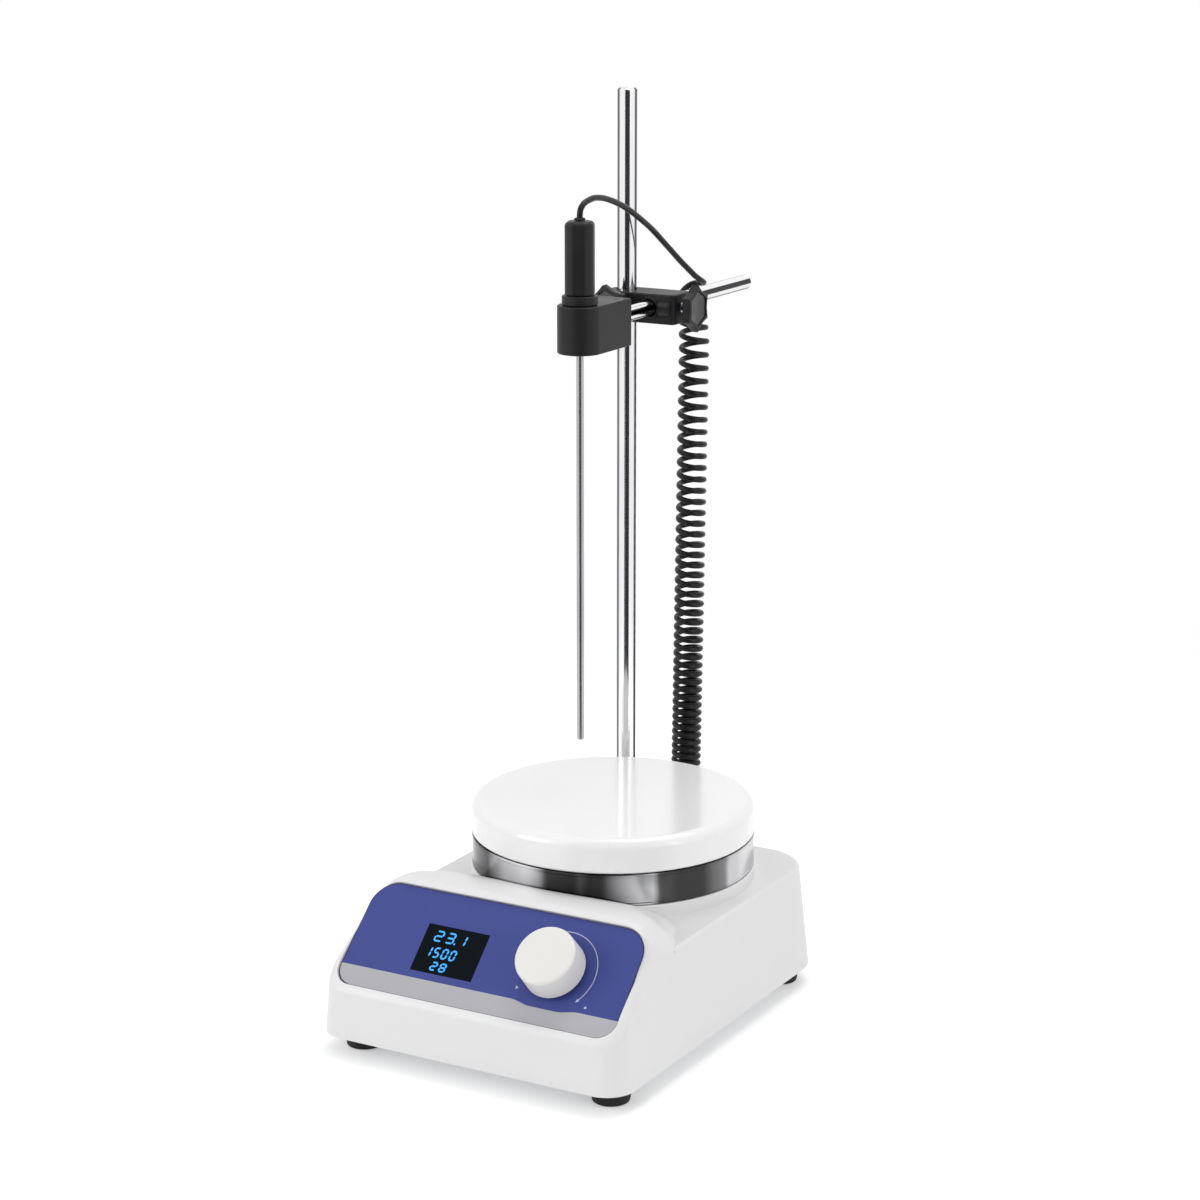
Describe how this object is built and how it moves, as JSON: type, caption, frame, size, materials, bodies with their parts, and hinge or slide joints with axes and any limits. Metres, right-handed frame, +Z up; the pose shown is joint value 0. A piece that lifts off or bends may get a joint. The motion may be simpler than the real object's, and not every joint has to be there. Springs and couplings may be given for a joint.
{
  "type": "hotplate stirrer",
  "caption": "Hotplate stirrer with a sloped control panel, round heated plate, rear support rod and a clamped temperature probe on a curly lead.",
  "frame": {"origin": "middle of the plan box at the level of the feet's soles, measured without the lead", "axes": "+Z up, front panel faces -Y, X runs along the panel to the right seen from the front"},
  "size_m": [0.1604, 0.3076, 0.425],
  "materials": {
    "white_shell": "satin white moulding",
    "white_knob": "satin warm white",
    "white_enamel": "glossy white enamel",
    "blue_film": "printed blue and silver film",
    "dark_glass": "glossy black",
    "stainless": "brushed",
    "zinc_steel": "zinc plated",
    "brass": "turned",
    "black_plastic": "fine grained",
    "black_rubber": "matte",
    "black_cord": "smooth",
    "board_green": "solder mask",
    "ceramic_pad": "mineral fibre",
    "dark_steel": "dark",
    "magnet_grey": "plated"
  },
  "bodies": {
    "base": {"housing": "white_shell", "base_plate": "zinc_steel", "panel_overlay": "blue_film", "display_window": "dark_glass", "display_module": "black_plastic", "control_board": "board_green", "encoder_body": "dark_steel", "heater_ring": "stainless", "top_plate": "white_enamel", "heater_disc": "dark_steel", "insulation_pad": "ceramic_pad", "clamp_disc": "zinc_steel", "plate_sensor": "zinc_steel", "motor": "dark_steel", "motor_bracket": "zinc_steel", "power_board": "board_green", "transformer": "dark_steel", "power_inlet": "black_plastic", "probe_socket": "zinc_steel", "probe_plug": "black_plastic", "rod_bracket": "white_shell", "bracket_screw_left": "zinc_steel", "bracket_screw_right": "zinc_steel", "lead_tail": "black_cord", "plate_post_1": "zinc_steel", "plate_post_2": "zinc_steel", "plate_post_3": "zinc_steel", "foot_front_left": "black_rubber", "foot_screw_front_left": "zinc_steel", "foot_front_right": "black_rubber", "foot_screw_front_right": "zinc_steel", "foot_rear_left": "black_rubber", "foot_screw_rear_left": "zinc_steel", "foot_rear_right": "black_rubber", "foot_screw_rear_right": "zinc_steel"},
    "dial": {"detent_wheel": "brass"},
    "push": {"encoder_shaft": "zinc_steel", "knob": "white_knob"},
    "rotor": {"motor_shaft": "zinc_steel", "magnet_carrier": "black_plastic", "magnet_left": "magnet_grey", "magnet_right": "magnet_grey"},
    "rod": {"support_rod": "stainless", "lock_nut": "zinc_steel"},
    "boss": {"boss_head": "black_plastic", "lead_coil": "black_cord"},
    "rod_clamp": {"rod_screw": "black_plastic"},
    "bar_clamp": {"bar_screw": "black_plastic"},
    "bar": {"cross_bar": "stainless", "lead_arch_bar": "black_cord"},
    "holder": {"probe_holder": "black_plastic", "grub_screw": "zinc_steel", "lead_arch_holder": "black_cord"},
    "probe": {"probe_stem": "stainless", "probe_collar": "black_plastic", "probe_handle": "black_plastic", "probe_cap": "black_rubber", "lead_arch_probe": "black_cord"}
  },
  "joints": [
    {"name": "knob_turn", "type": "hinge", "parent": "base", "child": "dial", "pos_m": [0.0342, -0.12852, 0.05277], "axis": [0, -0.6947, 0.7193], "continuous": true},
    {"name": "knob_press", "type": "slide", "parent": "dial", "child": "push", "axis": [0, 0.6947, -0.7193], "range_m": [0, 0.0006], "stiffness_N_per_m": 4000, "springref_m": -0.0003},
    {"name": "stirrer_spin", "type": "hinge", "parent": "base", "child": "rotor", "pos_m": [0, -0.01675, 0.0692], "axis": [0, 0, 1], "continuous": true},
    {"name": "rod_swivel", "type": "hinge", "parent": "base", "child": "rod", "pos_m": [-0.0364, 0.06125, 0.0282], "axis": [0, 0, 1], "range_deg": [-45, 45], "deforming": ["lead_coil", "lead_tail"]},
    {"name": "height_slide", "type": "slide", "parent": "rod", "child": "boss", "axis": [0, 0, 1], "range_m": [-0.012, 0.085], "deforming": ["lead_coil"]},
    {"name": "rod_screw_turn", "type": "hinge", "parent": "boss", "child": "rod_clamp", "pos_m": [-0.0364, 0.06125, 0.3214], "axis": [0, -1, 0], "range_deg": [0, 720]},
    {"name": "bar_screw_turn", "type": "hinge", "parent": "boss", "child": "bar_clamp", "pos_m": [-0.019, 0.06125, 0.3214], "axis": [1, 0, 0], "range_deg": [0, 720]},
    {"name": "bar_slide", "type": "slide", "parent": "boss", "child": "bar", "axis": [0, -1, 0], "range_m": [-0.02, 0.06], "deforming": ["lead_arch_bar", "lead_coil"]},
    {"name": "holder_roll", "type": "hinge", "parent": "bar", "child": "holder", "pos_m": [-0.019, -0.01475, 0.3214], "axis": [0, 1, 0], "range_deg": [-30, 30], "deforming": ["lead_arch_holder", "lead_arch_bar"]},
    {"name": "probe_lift", "type": "slide", "parent": "holder", "child": "probe", "axis": [0, 0, 1], "range_m": [0, 0.06], "deforming": ["lead_arch_probe", "lead_arch_holder"]}
  ]
}
